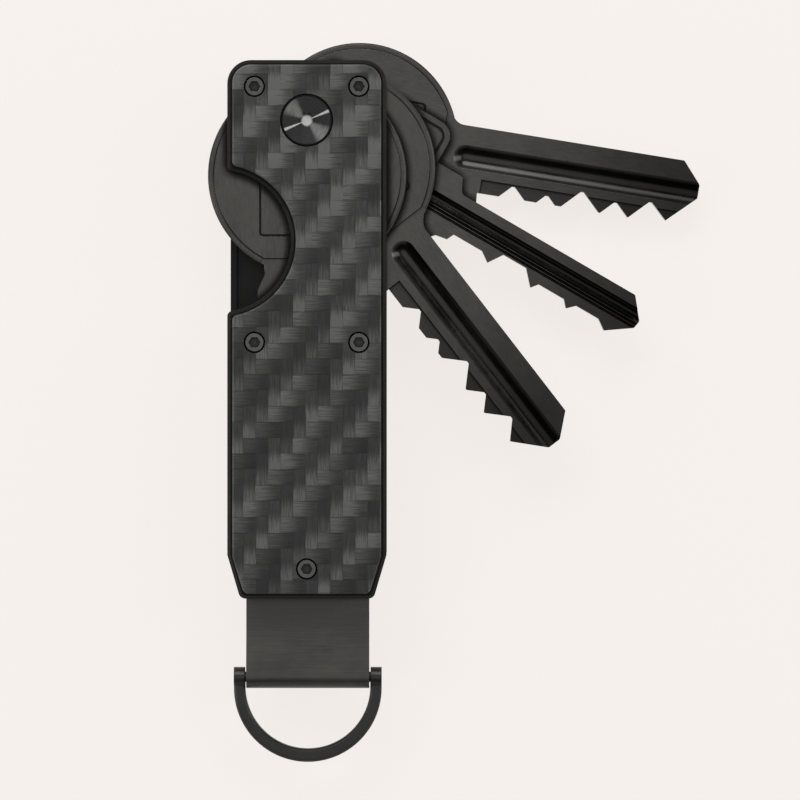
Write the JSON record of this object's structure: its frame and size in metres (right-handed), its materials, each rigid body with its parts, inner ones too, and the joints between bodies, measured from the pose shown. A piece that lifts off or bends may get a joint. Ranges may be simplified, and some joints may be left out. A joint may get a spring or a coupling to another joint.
{
  "type": "key organiser",
  "caption": "Pocket key organiser with carbon-faced metal plates, keys fanned out from one pivot, a thumb notch, and a folded strap holding a D-ring.",
  "frame": {"origin": "the pivot's axis in the plane of the rear face that the object lies on", "axes": "+Z out of the front face, +Y from the D-ring end to the pivot end, +X to the side the keys swing out of"},
  "size_m": [0.0693, 0.1015, 0.0152],
  "materials": {
    "carbon": "satin",
    "black_frame": "satin",
    "screw_black": "satin",
    "pivot_black": "satin",
    "washer_steel": "satin",
    "strap_steel": "satin",
    "ring_steel": "satin",
    "key_black": "satin"
  },
  "bodies": {
    "case": {"front_plate": "black_frame", "rear_plate": "black_frame", "front_scale": "carbon", "rear_scale": "carbon", "side_spine": "black_frame", "spine_dowels": "washer_steel", "rear_end_block": "black_frame", "front_end_block": "black_frame", "strap_rivets": "washer_steel", "front_scale_screws": "screw_black", "rear_scale_screws": "screw_black", "front_end_screw": "screw_black", "rear_end_screw": "screw_black", "pivot_screw": "pivot_black", "pivot_post": "pivot_black", "strap_loop": "strap_steel", "washer_1": "washer_steel", "washer_2": "washer_steel", "washer_3": "washer_steel", "washer_4": "washer_steel", "washer_5": "washer_steel"},
    "key_1": {"key_1": "key_black"},
    "key_2": {"key_2": "key_black"},
    "key_3": {"key_3": "key_black"},
    "key_4": {"key_4": "key_black"},
    "d_ring": {"d_ring": "ring_steel", "d_ring_bar": "ring_steel"}
  },
  "joints": [
    {"name": "key_1_swing", "type": "hinge", "parent": "case", "child": "key_1", "pos_m": [0, 0, 0.0076], "axis": [0, 0, 1], "range_deg": [-80.8, 99.2]},
    {"name": "key_2_swing", "type": "hinge", "parent": "case", "child": "key_2", "pos_m": [0, 0, 0.0076], "axis": [0, 0, 1], "range_deg": [-59.8, 120.2]},
    {"name": "key_3_swing", "type": "hinge", "parent": "case", "child": "key_3", "pos_m": [0, 0, 0.0076], "axis": [0, 0, 1], "range_deg": [-37.7, 142.3]},
    {"name": "key_4_swing", "type": "hinge", "parent": "case", "child": "key_4", "pos_m": [0, 0, 0.0076], "axis": [0, 0, 1], "range_deg": [0, 180]},
    {"name": "d_ring_hinge", "type": "hinge", "parent": "case", "child": "d_ring", "pos_m": [0, -0.0779, 0.0076], "axis": [1, 0, 0], "range_deg": [-130, 130]}
  ]
}
